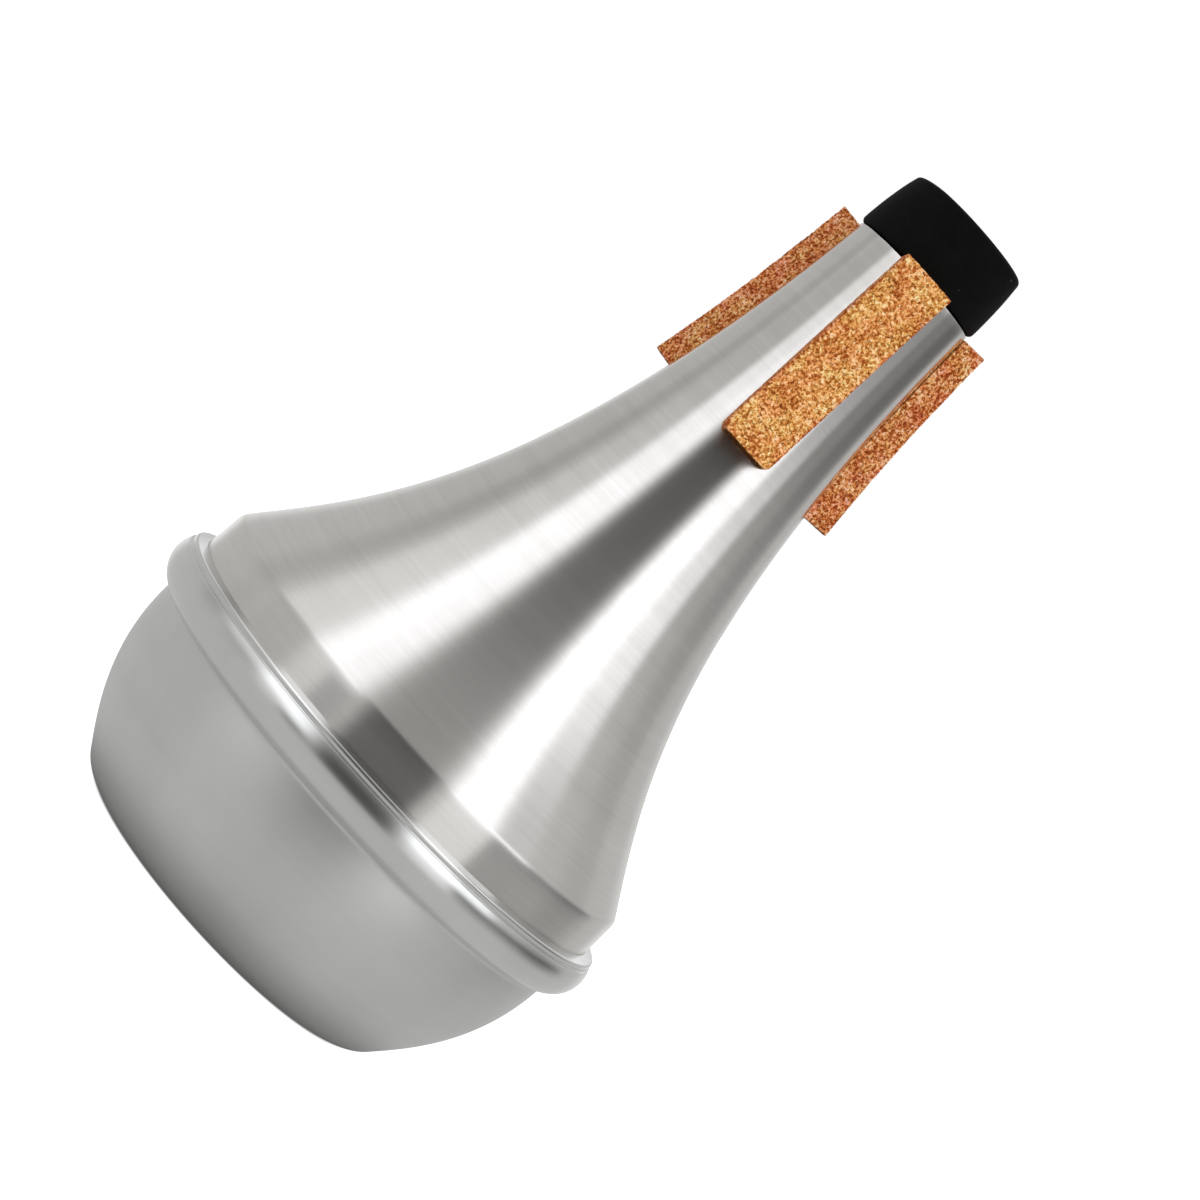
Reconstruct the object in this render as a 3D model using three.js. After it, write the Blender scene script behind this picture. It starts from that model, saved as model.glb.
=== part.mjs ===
// Trumpet straight mute: a spun aluminium cone and end cap joined by a rolled bead,
// three cork strips round the throat and a black rubber sleeve in its mouth.
// Millimetres, +Z up along the axis from the flat base to the throat, origin at the
// middle of the base, front of the mute towards -Y.
import * as THREE from 'three';

// End cap, from the base up to the bead
const baseRadius = 32;
const baseCornerRound = 6;
const bowlRadius = 44.3;
const capWall = 1;

// Rolled bead that joins cap and cone
const beadMiddleHeight = 34.4;
const beadRound = 5;
const beadProud = 3.7;
const beadRootRound = 0.9;
const lipLand = 1.15;
const lipGrooveWidth = 0.7;
const lipGrooveDepth = 0.3;
const lipRidgeWidth = 0.9;
const lipRidgeRise = 0.25;

// Cone, from the flange inside the bead up to the throat's rim
const coneWall = 1;
const flangeRootRound = 0.5;
const skirtStep = 0.7;
const skirtTaper = 0.42;
const skirtLength = 10;
const skirtCornerRound = 1.6;
const throatRadius = 12.4;
const throatHeight = 149.8;

// Rubber sleeve in the throat
const spigotWall = 2.6;
const sleeveProud = 12.2;
const sleeveShoulderStep = 0.45;
const sleeveTaper = 1;
const sleeveShoulderRound = 0.8;
const sleeveTopRound = 0.9;
const boreEdgeRound = 0.6;
const spigotLength = 12;
const spigotLeadIn = 0.8;

// Cork strips, cut a little thicker at the foot than at the head
const corkWidth = 10;
const corkFootThickness = 5;
const corkHeadThickness = 4.4;
const corkCrown = 0.2;
const corkEdgeBreak = 0.25;
const frontCorkLength = 39.5;
const frontCorkPastRim = 0.3;
const rightCorkLength = 38.4;
const rightCorkBelowRim = 0.2;
const leftCorkLength = 38.2;
const leftCorkBelowRim = 0.1;

// Clearances
const seamClearance = 0.3;
const sleeveClearance = 0.3;
const corkClearance = 0.3;

// How each strip was cut and stuck by hand: its length, its bearing from the front of
// the mute in degrees, positive towards +X, and how far it ends below the throat's rim
const corkStrips = {
  cork_strip_front: { length: frontCorkLength, bearing: 5, belowRim: -frontCorkPastRim },
  cork_strip_right: { length: rightCorkLength, bearing: 119, belowRim: rightCorkBelowRim },
  cork_strip_left: { length: leftCorkLength, bearing: -126, belowRim: leftCorkBelowRim },
};

// Curve handles as shares of the way across and up from the foot of each curve to its top
const bowlFootHandleShares = { across: 0.39, up: 0.22 };
const bowlTopHandleShares = { across: 1, up: 0.53 };
const flareFootHandleShares = { across: 0.368, up: 0.156 };
const flareThroatHandleShares = { across: 0.898, up: 0.366 };
const sleeveBarrelShares = { across: 0.05, up: 0.48 };

// Facets round the axis, and steps along each curve of a profile
const facets = 48;
const steps = { corner: 3, bowl: 9, root: 3, bead: 9, lip: 3, flare: 16, spigot: 3, barrel: 4 };
const innerSteps = { corner: 2, bowl: 7, root: 2, bead: 6, flare: 13 };
const corkStations = 9;

const spunAluminium = new THREE.MeshStandardMaterial({
  color: 0xb9b8b4,
  roughness: 0.34,
  metalness: 1,
});
const satinAluminium = new THREE.MeshStandardMaterial({
  color: 0xadacaa,
  roughness: 0.45,
  metalness: 1,
});
const granulatedCork = new THREE.MeshStandardMaterial({
  color: 0xca905a,
  roughness: 0.9,
  metalness: 0,
});
const blackRubber = new THREE.MeshStandardMaterial({
  color: 0x151413,
  roughness: 0.85,
  metalness: 0,
});

// Points of a profile are (distance from the axis, height)
const point = (radius, height) => new THREE.Vector2(radius, height);

// A point at the given shares of the way from one point to another
const shareOf = (start, end, shares) =>
  point(
    THREE.MathUtils.lerp(start.x, end.x, shares.across),
    THREE.MathUtils.lerp(start.y, end.y, shares.up),
  );

const unitVector = (start, end) => end.clone().sub(start).normalize();

const leftOf = (heading) => point(-heading.y, heading.x);

const circleReach = (radius, offset) => Math.sqrt(radius * radius - offset * offset);

// An arc that starts and ends square to the given directions from its centre
function arcBetween(centre, radius, startDirection, endDirection, clockwise) {
  const startAngle = Math.atan2(startDirection.y, startDirection.x);
  const endAngle = Math.atan2(endDirection.y, endDirection.x);
  return new THREE.EllipseCurve(
    centre.x, centre.y, radius, radius, startAngle, endAngle, clockwise, 0,
  );
}

// The arc that rounds a corner between two headings, with its two tangent points
function roundedCorner(corner, headingIn, headingOut, radius) {
  const turnsLeft = headingIn.cross(headingOut) > 0;
  const side = turnsLeft ? 1 : -1;
  const turn = Math.acos(headingIn.dot(headingOut));
  const setback = radius * Math.tan(turn / 2);
  const start = corner.clone().addScaledVector(headingIn, -setback);
  const end = corner.clone().addScaledVector(headingOut, setback);
  const centre = start.clone().addScaledVector(leftOf(headingIn), side * radius);
  const arc = arcBetween(
    centre, radius, start.clone().sub(centre), end.clone().sub(centre), !turnsLeft,
  );
  return { start, end, arc };
}

// Samples a chain of curves, each point moved left of the heading by the inset, which
// turns the outer skin of a sheet into its inner skin
function skinPoints(chain, inset) {
  const points = [];
  for (const [curve, count] of chain) {
    for (let index = points.length === 0 ? 0 : 1; index <= count; index += 1) {
      const share = index / count;
      const inward = leftOf(curve.getTangent(share));
      points.push(curve.getPoint(share).addScaledVector(inward, inset));
    }
  }
  return points;
}

// A solid of revolution about +Z from a profile that runs up its outside
function revolve(profile) {
  const geometry = new THREE.LatheGeometry(profile, facets);
  geometry.rotateX(Math.PI / 2);
  return geometry;
}

const closedLoop = (points) => [...points, points[0].clone()];

// Bead section: a round roll that stands proud of the bowl, open on the inside, with a
// small hollow root where the bowl turns out into it
const beadCentre = point(bowlRadius + beadProud - beadRound, beadMiddleHeight);
const beadRootRadius = bowlRadius + beadRootRound;
const beadRootCentre = point(
  beadRootRadius,
  beadCentre.y - circleReach(beadRound + beadRootRound, beadRootRadius - beadCentre.x),
);
const beadRoot = arcBetween(
  beadRootCentre, beadRootRound, point(-1, 0), beadCentre.clone().sub(beadRootCentre), true,
);
const skirtFoot = point(bowlRadius + skirtStep, beadMiddleHeight + coneWall / 2);
const lipRadius = skirtFoot.x + seamClearance;

function beadAngleAt(radius, rollRadius) {
  return Math.acos((radius - beadCentre.x) / rollRadius);
}

function beadArcPoints(fromAngle, toAngle, rise, count) {
  const points = [];
  for (let index = 1; index <= count; index += 1) {
    const share = index / count;
    const angle = THREE.MathUtils.lerp(fromAngle, toAngle, share);
    const roll = beadRound + rise * Math.sin(Math.PI * share);
    points.push(
      point(beadCentre.x + roll * Math.cos(angle), beadCentre.y + roll * Math.sin(angle)),
    );
  }
  return points;
}

// Outer skin of the end cap up to the roll: flat base, rounded corner, bowl and bead root
function bowlChain(counts) {
  const base = point(baseRadius, 0);
  const bowlTop = point(bowlRadius, beadRootCentre.y);
  const footHandle = shareOf(base, bowlTop, bowlFootHandleShares);
  const topHandle = shareOf(base, bowlTop, bowlTopHandleShares);
  const corner = roundedCorner(base, point(1, 0), unitVector(base, footHandle), baseCornerRound);
  return [
    [new THREE.LineCurve(point(0, 0), corner.start), 1],
    [corner.arc, counts.corner],
    [new THREE.CubicBezierCurve(corner.end, footHandle, topHandle, bowlTop), counts.bowl],
    [beadRoot, counts.root],
  ];
}

// The roll from its root to the given angle
function rollTo(angle) {
  const start = beadRoot.getPoint(1).sub(beadCentre);
  const end = point(Math.cos(angle), Math.sin(angle));
  return arcBetween(beadCentre, beadRound, start, end, false);
}

// End cap: base, bowl and rolled bead, whose crimped lip has a groove, a ridge and a
// flat land that closes on the skirt of the cone
function endCap() {
  const lipAngle = beadAngleAt(lipRadius + lipLand, beadRound);
  const ridgeAngle = lipAngle - lipRidgeWidth / beadRound;
  const grooveAngle = ridgeAngle - lipGrooveWidth / beadRound;
  const innerLipAngle = beadAngleAt(lipRadius, beadRound - capWall);
  const landHeight = beadCentre.y + beadRound * Math.sin(lipAngle);
  const outer = [
    ...skinPoints([...bowlChain(steps), [rollTo(grooveAngle), steps.bead]], 0),
    ...beadArcPoints(grooveAngle, ridgeAngle, -lipGrooveDepth, steps.lip),
    ...beadArcPoints(ridgeAngle, lipAngle, lipRidgeRise, steps.lip),
    point(lipRadius, landHeight),
  ];
  const inner = skinPoints(
    [...bowlChain(innerSteps), [rollTo(innerLipAngle), innerSteps.bead]],
    capWall,
  );
  return revolve([...outer, ...inner.reverse()]);
}

// Flare of the cone, its outer skin from the rounded corner above the skirt to the rim
const skirtTop = point(skirtFoot.x - skirtTaper, skirtFoot.y + skirtLength);
const throatRim = point(throatRadius, throatHeight);
const flareFootHandle = shareOf(skirtTop, throatRim, flareFootHandleShares);
const flareThroatHandle = shareOf(skirtTop, throatRim, flareThroatHandleShares);
const skirtCorner = roundedCorner(
  skirtTop,
  unitVector(skirtFoot, skirtTop),
  unitVector(skirtTop, flareFootHandle),
  skirtCornerRound,
);
const flare = new THREE.CubicBezierCurve(
  skirtCorner.end, flareFootHandle, flareThroatHandle, throatRim,
);

// Outer skin of the cone: flange caught in the bead, tapered skirt, corner and flare
function coneChain(counts) {
  const flangeReach = circleReach(beadRound - capWall - seamClearance, coneWall / 2);
  const flangeTip = point(beadCentre.x + flangeReach, skirtFoot.y);
  const upTheSkirt = unitVector(skirtFoot, skirtTop);
  const flangeRoot = roundedCorner(skirtFoot, point(-1, 0), upTheSkirt, flangeRootRound);
  return [
    [new THREE.LineCurve(flangeTip, flangeRoot.start), 1],
    [flangeRoot.arc, counts.root],
    [new THREE.LineCurve(flangeRoot.end, skirtCorner.start), 1],
    [skirtCorner.arc, counts.corner],
    [flare, counts.flare],
  ];
}

function coneShell() {
  const outer = skinPoints(coneChain(steps), 0);
  const inner = skinPoints(coneChain(innerSteps), coneWall);
  return revolve(closedLoop([...outer, ...inner.reverse()]));
}

// Points of the sleeve's spigot, from its foot up to the rim, a clearance inside the wall
function spigotPoints() {
  const points = [];
  const inset = coneWall + sleeveClearance;
  for (let index = 0; index <= steps.spigot; index += 1) {
    const belowRim = THREE.MathUtils.lerp(spigotLength, 0, index / steps.spigot);
    const share = 1 - belowRim / flare.getLength();
    const inward = leftOf(flare.getTangentAt(share));
    points.push(flare.getPointAt(share).addScaledVector(inward, inset));
  }
  return points;
}

// Rubber sleeve: a spigot that follows the throat's inner wall, a shoulder on the rim,
// a barrel that narrows to a flat end, and a straight bore
function throatSleeve() {
  const spigot = spigotPoints();
  const spigotFoot = spigot[0];
  const spigotTop = spigot[steps.spigot];
  const boreRadius = spigotTop.x - spigotWall;
  const shoulder = point(throatRadius + sleeveShoulderStep, throatHeight + sleeveClearance);
  const top = point(shoulder.x - sleeveTaper, throatHeight + sleeveProud);
  const barrelHandle = shareOf(shoulder, top, sleeveBarrelShares);
  const shoulderCorner = roundedCorner(
    shoulder, point(1, 0), unitVector(shoulder, barrelHandle), sleeveShoulderRound,
  );
  const topCorner = roundedCorner(
    top, unitVector(barrelHandle, top), point(-1, 0), sleeveTopRound,
  );
  const boreEdge = roundedCorner(
    point(boreRadius, top.y), point(-1, 0), point(0, -1), boreEdgeRound,
  );
  const barrel = new THREE.QuadraticBezierCurve(
    shoulderCorner.end, barrelHandle, topCorner.start,
  );
  return revolve(closedLoop([
    point(boreRadius, spigotFoot.y),
    point(spigotFoot.x - spigotLeadIn, spigotFoot.y),
    point(spigotFoot.x, spigotFoot.y + spigotLeadIn),
    ...spigot.slice(1, -1),
    point(spigotTop.x, shoulder.y),
    ...skinPoints([
      [shoulderCorner.arc, steps.corner],
      [barrel, steps.barrel],
      [topCorner.arc, steps.corner],
      [new THREE.LineCurve(topCorner.end, boreEdge.start), 1],
      [boreEdge.arc, steps.corner],
    ], 0),
  ]));
}

// A closed solid from two grids of points that face each other, row by row
function solidBetween(innerRows, outerRows) {
  const positions = [];
  const last = { row: innerRows.length - 1, column: innerRows[0].length - 1 };
  const quad = (a, b, c, d) => {
    for (const corner of [a, b, c, a, c, d]) {
      positions.push(corner.x, corner.y, corner.z);
    }
  };
  for (let row = 0; row < last.row; row += 1) {
    const [innerLow, innerHigh] = [innerRows[row], innerRows[row + 1]];
    const [outerLow, outerHigh] = [outerRows[row], outerRows[row + 1]];
    for (let column = 0; column < last.column; column += 1) {
      const next = column + 1;
      quad(outerLow[column], outerLow[next], outerHigh[next], outerHigh[column]);
      quad(innerLow[next], innerLow[column], innerHigh[column], innerHigh[next]);
    }
    quad(innerLow[0], outerLow[0], outerHigh[0], innerHigh[0]);
    quad(
      outerLow[last.column], innerLow[last.column],
      innerHigh[last.column], outerHigh[last.column],
    );
  }
  for (let column = 0; column < last.column; column += 1) {
    const next = column + 1;
    quad(
      innerRows[0][column], innerRows[0][next],
      outerRows[0][next], outerRows[0][column],
    );
    quad(
      innerRows[last.row][next], innerRows[last.row][column],
      outerRows[last.row][column], outerRows[last.row][next],
    );
  }
  const geometry = new THREE.BufferGeometry();
  geometry.setAttribute('position', new THREE.Float32BufferAttribute(positions, 3));
  geometry.computeVertexNormals();
  return geometry;
}

// Outer skin of the throat at a distance below its rim, carried straight on above it
function throatSkin(belowRim) {
  if (belowRim < 0) {
    return flare.getPointAt(1).addScaledVector(flare.getTangentAt(1), -belowRim);
  }
  return flare.getPointAt(1 - belowRim / flare.getLength());
}

// A cork strip bent along the flare, hollowed underneath to sit on the round throat.
// It lies along +X of its own frame, and its ends are cut square to its length.
function corkStrip({ length, belowRim }) {
  const foot = throatSkin(length + belowRim);
  const head = throatSkin(belowRim);
  const outward = leftOf(unitVector(foot, head)).negate();
  const halfWidth = corkWidth / 2;
  const quarterWidth = corkWidth / 4;
  const flatEdge = halfWidth - corkEdgeBreak;
  const across = [
    -halfWidth, -flatEdge, -quarterWidth, 0, quarterWidth, flatEdge, halfWidth,
  ];
  const crownDrop = (side) => corkCrown * (side / halfWidth) ** 2;
  const edgeDrop = (side) => Math.max(Math.abs(side) - flatEdge, 0);
  const innerRows = [];
  const outerRows = [];
  for (let station = 0; station < corkStations; station += 1) {
    const share = station / (corkStations - 1);
    const skin = throatSkin(THREE.MathUtils.lerp(length, 0, share) + belowRim);
    const seatRadius = skin.x + corkClearance;
    const thickness = THREE.MathUtils.lerp(corkFootThickness, corkHeadThickness, share);
    const face = point(seatRadius, skin.y).addScaledVector(outward, thickness);
    innerRows.push(across.map((side) =>
      new THREE.Vector3(circleReach(seatRadius, side), side, skin.y)));
    outerRows.push(across.map((side) =>
      new THREE.Vector3(face.x - crownDrop(side) - edgeDrop(side), side, face.y)));
  }
  return solidBetween(innerRows, outerRows);
}

function namedMesh(name, geometry, material) {
  const mesh = new THREE.Mesh(geometry, material.clone());
  mesh.name = name;
  return mesh;
}

const straightMute = new THREE.Group();
straightMute.add(namedMesh('end_cap', endCap(), satinAluminium));
straightMute.add(namedMesh('cone_shell', coneShell(), spunAluminium));
straightMute.add(namedMesh('throat_sleeve', throatSleeve(), blackRubber));
for (const [name, cut] of Object.entries(corkStrips)) {
  const strip = namedMesh(name, corkStrip(cut), granulatedCork);
  strip.rotation.z = THREE.MathUtils.degToRad(cut.bearing - 90);
  straightMute.add(strip);
}

export default straightMute;
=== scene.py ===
"""Trumpet straight mute: a spun aluminium cone and end cap, cork strips and a rubber sleeve.

Sizes in the classes are millimetres, as on a drawing, and the meshes are made in metres.
A profile is an array of points (distance from the axis, height) that runs up the outside
of a turned form. The mute stands on its flat base at height zero, with its front to -Y.
"""
import logging
import math
from dataclasses import dataclass, field
from enum import Enum
from itertools import pairwise
from typing import Any

import bpy
import numpy as np
from mathutils import Matrix, Vector


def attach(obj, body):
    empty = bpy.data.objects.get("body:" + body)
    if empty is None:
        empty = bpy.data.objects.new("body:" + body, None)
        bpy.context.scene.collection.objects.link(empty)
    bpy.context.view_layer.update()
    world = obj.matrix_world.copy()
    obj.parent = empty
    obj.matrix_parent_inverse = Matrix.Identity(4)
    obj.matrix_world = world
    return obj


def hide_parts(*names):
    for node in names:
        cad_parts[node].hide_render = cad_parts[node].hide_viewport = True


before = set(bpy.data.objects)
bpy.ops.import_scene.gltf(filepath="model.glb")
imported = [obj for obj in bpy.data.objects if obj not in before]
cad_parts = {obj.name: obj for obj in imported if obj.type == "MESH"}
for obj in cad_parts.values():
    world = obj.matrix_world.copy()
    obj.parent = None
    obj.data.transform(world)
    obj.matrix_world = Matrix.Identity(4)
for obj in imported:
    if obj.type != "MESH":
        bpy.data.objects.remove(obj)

LOG = logging.getLogger("straight_mute")
MM = 0.001  # a millimetre in metres
SAME_POINT = 1e-6  # points nearer than this, in millimetres, count as one
EASED_POINTS = 7  # points on each corner that is eased
Points = np.ndarray
OUTWARD, INWARD, DOWNWARD = np.array([[1.0, 0.0], [-1.0, 0.0], [0.0, -1.0]])


# --- Curves of a profile ---

def unit(vector: Points) -> Points:
    """Returns the vector at length one."""
    return vector / np.linalg.norm(vector)


def left_of(heading: Points) -> Points:
    """Returns the heading turned a quarter turn to the left, for one or many headings."""
    return np.stack([-heading[..., 1], heading[..., 0]], axis=-1)


def arc(centre: Points, radius: float, start: float, end: float, count: int) -> Points:
    """Samples centre + radius * (cos a, sin a) for even angles a.

    Args:
        centre: Middle of the arc.
        radius: Its radius.
        start: First angle in radians.
        end: Last angle in radians.
        count: Number of points.

    Returns:
        The points of the arc.
    """
    angles = np.linspace(start, end, count)
    return centre + radius * np.stack([np.cos(angles), np.sin(angles)], axis=1)


def cubic(controls: list[Points], count: int) -> Points:
    """Samples (1-u)^3 start + 3 (1-u)^2 u first + 3 (1-u) u^2 second + u^3 end, u even.

    Args:
        controls: Start, first and second handle, and end.
        count: Number of points.

    Returns:
        The points of the curve.
    """
    share = np.linspace(0.0, 1.0, count)[:, None]
    rest = 1.0 - share
    start, first, second, end = controls
    return (rest**3 * start + 3 * rest**2 * share * first
            + 3 * rest * share**2 * second + share**3 * end)


def quadratic(start: Points, handle: Points, end: Points, count: int) -> Points:
    """Samples the curve (1 - u)^2 start + 2 (1 - u) u handle + u^2 end for even u.

    Args:
        start: First point.
        handle: Point that the curve bends towards.
        end: Last point.
        count: Number of points.

    Returns:
        The points of the curve.
    """
    share = np.linspace(0.0, 1.0, count)[:, None]
    return (1 - share)**2 * start + 2 * (1 - share) * share * handle + share**2 * end


def share_of(start: Points, end: Points, shares: tuple[float, float]) -> Points:
    """Returns the point at the given shares of the way across and up from start to end."""
    return start + (end - start) * np.array(shares)


def rounded_corner(at: Points, heading_in: Points, heading_out: Points, radius: float,
                   count: int) -> Points:
    """Rounds a corner: the arc that touches both headings, radius * tan(turn / 2) from it.

    Args:
        at: The sharp corner.
        heading_in: Unit heading towards the corner.
        heading_out: Unit heading away from it.
        radius: Radius of the arc.
        count: Number of points.

    Returns:
        The points of the arc.
    """
    side = 1.0 if heading_in[0] * heading_out[1] > heading_in[1] * heading_out[0] else -1.0
    turn = math.acos(float(heading_in @ heading_out))
    start = at - heading_in * radius * math.tan(turn / 2)
    centre = start + side * radius * left_of(heading_in)
    first = math.atan2(*(start - centre)[::-1])
    return arc(centre, radius, first, first + side * turn, count)


def chain(*runs: Points) -> Points:
    """Joins runs of points end to end and drops each point that repeats the last one.

    Args:
        *runs: Points of each run, in order.

    Returns:
        The joined curve.
    """
    points = np.concatenate([np.atleast_2d(run) for run in runs])
    steps = np.linalg.norm(np.diff(points, axis=0), axis=1)
    return points[np.concatenate([[True], steps > SAME_POINT])]


def run_along(points: Points) -> Points:
    """Returns the distance along a curve from its start to each of its points."""
    return np.concatenate([[0.0], np.cumsum(np.linalg.norm(np.diff(points, axis=0), axis=1))])


def headings_of(points: Points) -> Points:
    """Finds the heading at each point of a curve as the mean of its two sides' headings.

    Args:
        points: Points of the curve.

    Returns:
        A unit heading for each point.
    """
    steps = np.diff(points, axis=0)
    steps /= np.linalg.norm(steps, axis=1, keepdims=True)
    both = np.concatenate([steps[:1], steps[:-1] + steps[1:], steps[-1:]])
    return both / np.linalg.norm(both, axis=1, keepdims=True)


def inner_skin(points: Points, wall: float) -> Points:
    """Moves every point left of its heading by the wall, which gives a sheet's other side."""
    return points + wall * left_of(headings_of(points))


def thinned(points: Points) -> Points:
    """Keeps every other point of a curve and its end, enough for a sheet's hidden side."""
    return np.concatenate([points[:-1:2], points[-1:]])


def softened(points: Points, radius: float, limit: float = 0.3) -> Points:
    """Eases each sharp corner of a profile into a small curve.

    A corner that turns more than the limit is cut back by the radius along both of its
    sides, at most by half a side, and the quadratic curve through the corner fills in.

    Args:
        points: Profile, open or closed on itself.
        radius: Length that is cut back.
        limit: Smallest turn in radians that counts as a corner.

    Returns:
        The profile with its corners eased.
    """
    closed = bool(np.allclose(points[0], points[-1]))
    body = points[:-1] if closed else points
    before, after = np.roll(body, 1, axis=0) - body, np.roll(body, -1, axis=0) - body
    reach_in = np.linalg.norm(before, axis=1, keepdims=True)
    reach_out = np.linalg.norm(after, axis=1, keepdims=True)
    turn = np.pi - np.arccos(np.clip(
        np.sum(before * after, axis=1) / (reach_in * reach_out)[:, 0], -1.0, 1.0))
    sharp = turn > limit
    if not closed:
        sharp[[0, -1]] = False
    start = body + before * np.minimum(radius / reach_in, 0.5)
    end = body + after * np.minimum(radius / reach_out, 0.5)
    eased = chain(*(
        quadratic(start[i], body[i], end[i], EASED_POINTS) if sharp[i] else body[i:i + 1]
        for i in range(len(body))))
    return np.concatenate([eased, eased[:1]]) if closed else eased


def refined(points: Points, longest: float) -> Points:
    """Adds even points to the sides of a profile that are longer than the given length.

    Args:
        points: The profile.
        longest: Longest side that is left.

    Returns:
        The profile with the points added.
    """
    lengths = np.linalg.norm(np.diff(points, axis=0), axis=1)
    counts = np.maximum(np.ceil(lengths / longest).astype(int), 1)
    starts = np.repeat(np.arange(len(counts)), counts)
    shares = (np.arange(counts.sum()) - np.repeat(np.cumsum(counts) - counts, counts))
    shares = (shares / counts[starts])[:, None]
    inside = points[starts] * (1 - shares) + points[starts + 1] * shares
    return np.concatenate([inside, points[-1:]])


# --- Surfaces ---

@dataclass
class Surface:
    """A mesh before it becomes an object: corners in millimetres, faces and values."""

    corners: Points
    quads: Points
    triangles: Points
    values: dict[str, Points] = field(default_factory=dict)

    def made(self, name: str) -> bpy.types.Object:
        """Makes the mesh object at the origin, in metres, with smooth faces.

        Args:
            name: Name of the object.

        Returns:
            The object, linked to the scene.
        """
        mesh = bpy.data.meshes.new(name)
        faces = self.quads.tolist() + self.triangles.tolist()
        mesh.from_pydata((self.corners * MM).tolist(), [], faces)
        mesh.shade_smooth()
        for key, values in self.values.items():
            layer = mesh.attributes.new(key, "FLOAT", "POINT")
            layer.data.foreach_set("value", values.astype(np.float32))
        mesh.update()
        made = bpy.data.objects.new(name, mesh)
        bpy.context.scene.collection.objects.link(made)
        return made


def lofted(rings: Points, ends: Points | None, clockwise: bool = False) -> Surface:
    """Skins rings of corners with the faces (i, j), (i, j + 1), (i + 1, j + 1), (i + 1, j).

    Args:
        rings: Corners as (ring, place round it, xyz).
        ends: The first and the last point, to which fans close the skin, or None where
            the last ring goes on to the first.
        clockwise: Whether the places run clockwise, seen from the last ring, so that the
            faces have to be turned over.

    Returns:
        The closed surface, its faces outwards.
    """
    count, around = rings.shape[:2]
    row = np.arange(count if ends is None else count - 1)[:, None]
    column = np.arange(around)[None]
    beside, above = (column + 1) % around, (row + 1) % count
    quads = np.stack(np.broadcast_arrays(
        row * around + column, row * around + beside,
        above * around + beside, above * around + column), axis=-1).reshape(-1, 4)
    corners, triangles = rings.reshape(-1, 3), np.zeros((0, 3), dtype=int)
    if ends is not None:
        foot, last = len(corners), (count - 1) * around
        ring, following = column[0], beside[0]
        triangles = np.concatenate([
            np.stack([np.full(around, foot), following, ring], axis=1),
            np.stack([last + ring, last + following, np.full(around, foot + 1)], axis=1)])
        corners = np.concatenate([corners, ends])
    if clockwise:
        quads, triangles = quads[:, ::-1], triangles[:, ::-1]
    return Surface(corners, quads, triangles)


def revolved(profile: Points, facets: int) -> Surface:
    """Turns a profile round the axis: corner = (r cos a, r sin a, z) for even bearings a.

    A profile that starts and ends on the axis is closed there by two fans, and any other
    one closes on itself. Each corner keeps its run along the profile in millimetres.

    Args:
        profile: Points (r, z) up the outside and down the inside.
        facets: Steps round the axis.

    Returns:
        The closed surface, its faces outwards.
    """
    run = run_along(profile)
    poles = bool(profile[0, 0] < SAME_POINT)
    body = slice(1, -1) if poles else slice(0, -1)
    bearings = np.linspace(0.0, 2 * np.pi, facets, endpoint=False)
    compass = np.stack([np.cos(bearings), np.sin(bearings)], axis=1)
    flat = profile[body, None, :1] * compass[None]
    high = np.broadcast_to(profile[body, None, 1:], (*flat.shape[:2], 1))
    ends = np.array([[0.0, 0.0, profile[0, 1]], [0.0, 0.0, profile[-1, 1]]])
    surface = lofted(np.concatenate([flat, high], axis=2), ends if poles else None)
    runs = np.repeat(run[body], facets)
    surface.values["run_mm"] = np.concatenate([runs, run[[0, -1]]]) if poles else runs
    return surface


def scattered(cells: Points, seed: float) -> Points:
    """Hashes whole cells: the fraction of a sine of mixed places, made very large.

    Args:
        cells: Whole numbers (x, y, z) of each cell.
        seed: Which pattern.

    Returns:
        Three numbers from 0 to 1 for each cell.
    """
    mix = np.array([[12.9898, 39.3461, 73.1562], [78.233, 11.135, 52.235],
                    [37.719, 83.155, 9.151]])
    enlarged = 43758.5453
    return np.modf(np.abs(np.sin(cells @ mix + seed)) * enlarged)[0]


def granules_at(points: Points, size: float, seed: float) -> tuple[Points, Points, Points]:
    """Finds the granule that each point lies in.

    Space is cut into cells of the size, each with one centre at a random place inside.
    A point belongs to the nearest centre of its own and the 26 cells around it.

    Args:
        points: Points in millimetres.
        size: Width of a granule.
        seed: Which pattern.

    Returns:
        The distances to the nearest and the next centre, as shares of the size, and a
        random number from 0 to 1 that belongs to the nearest granule.
    """
    near = np.stack(np.meshgrid(*[[-1, 0, 1]] * 3, indexing="ij"), axis=-1).reshape(-1, 1, 3)
    cells = np.floor(points / size)[None] + near
    offsets = scattered(cells, seed)
    distance = np.linalg.norm((cells + offsets) - (points / size)[None], axis=2)
    nearest = np.argmin(distance, axis=0)
    two = np.partition(distance, 1, axis=0)[:2]
    chance = np.take_along_axis(offsets[..., 0], nearest[None], axis=0)[0]
    return two[0], two[1], chance


def lumps_at(points: Points, size: float, seed: int, waves: int = 9) -> Points:
    """Sums up soft random lumps: the mean of plane waves sin(facing . p * pace + phase).

    Args:
        points: Points in millimetres.
        size: About the length of a wave.
        seed: Which pattern.
        waves: Number of waves.

    Returns:
        A number from -1 to 1 for each point.
    """
    shortest, longest = 0.7, 1.6
    random = np.random.default_rng(seed)
    facing = random.normal(size=(waves, 3))
    facing /= np.linalg.norm(facing, axis=1, keepdims=True)
    pace = 2 * np.pi / (size * random.uniform(shortest, longest, waves))
    phase = random.uniform(0.0, 2 * np.pi, waves)
    return np.sin((points @ facing.T) * pace + phase).mean(axis=1) * math.sqrt(2.0)


# --- Materials ---

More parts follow.
